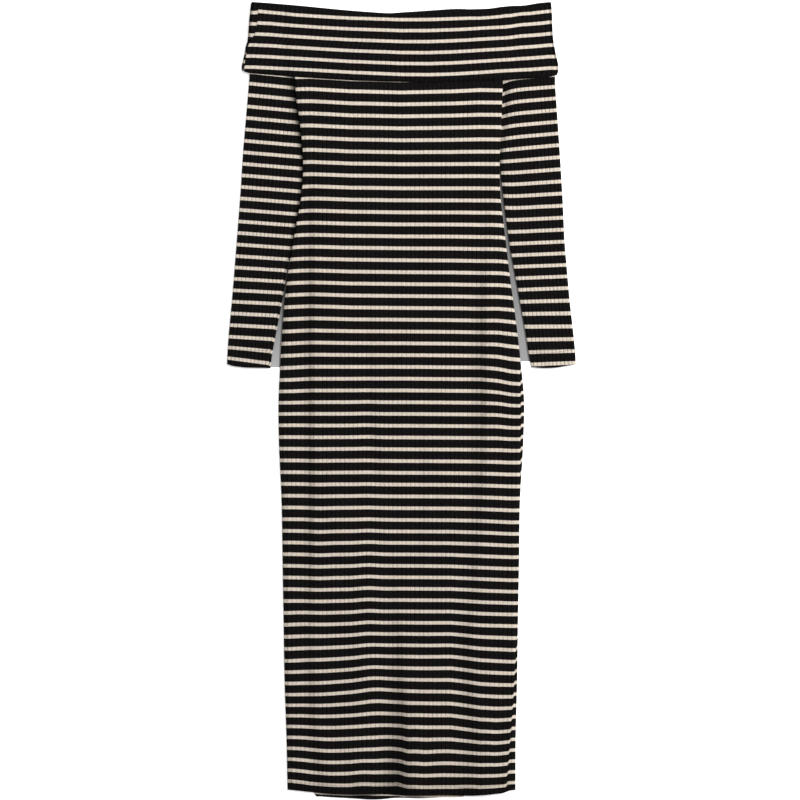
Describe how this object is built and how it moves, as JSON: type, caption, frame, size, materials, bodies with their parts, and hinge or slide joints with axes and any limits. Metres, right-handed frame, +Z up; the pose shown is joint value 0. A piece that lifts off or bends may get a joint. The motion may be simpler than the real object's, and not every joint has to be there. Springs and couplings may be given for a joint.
{
  "type": "knit dress",
  "caption": "Off-shoulder midi dress in striped rib knit with long sleeves and a wide fold-over collar, laid flat.",
  "frame": {"origin": "centre of the laid-out dress's outline, on the surface that it lies on", "axes": "+Z up, out of the front of the dress; +Y towards the neck; +X towards the right as seen from above"},
  "size_m": [0.5236, 1.1956, 0.0108],
  "materials": {
    "body_knit": "soft matt rib knit, black with narrow beige stripes",
    "sleeve_knit": "soft matt rib knit, black with narrow beige stripes",
    "collar_knit": "soft matt rib knit, black with narrow beige stripes"
  },
  "bodies": {
    "root": {"front": "body_knit", "back": "body_knit", "sleeve_left": "sleeve_knit", "sleeve_right": "sleeve_knit", "collar_front": "collar_knit", "collar_back": "collar_knit"}
  },
  "joints": []
}
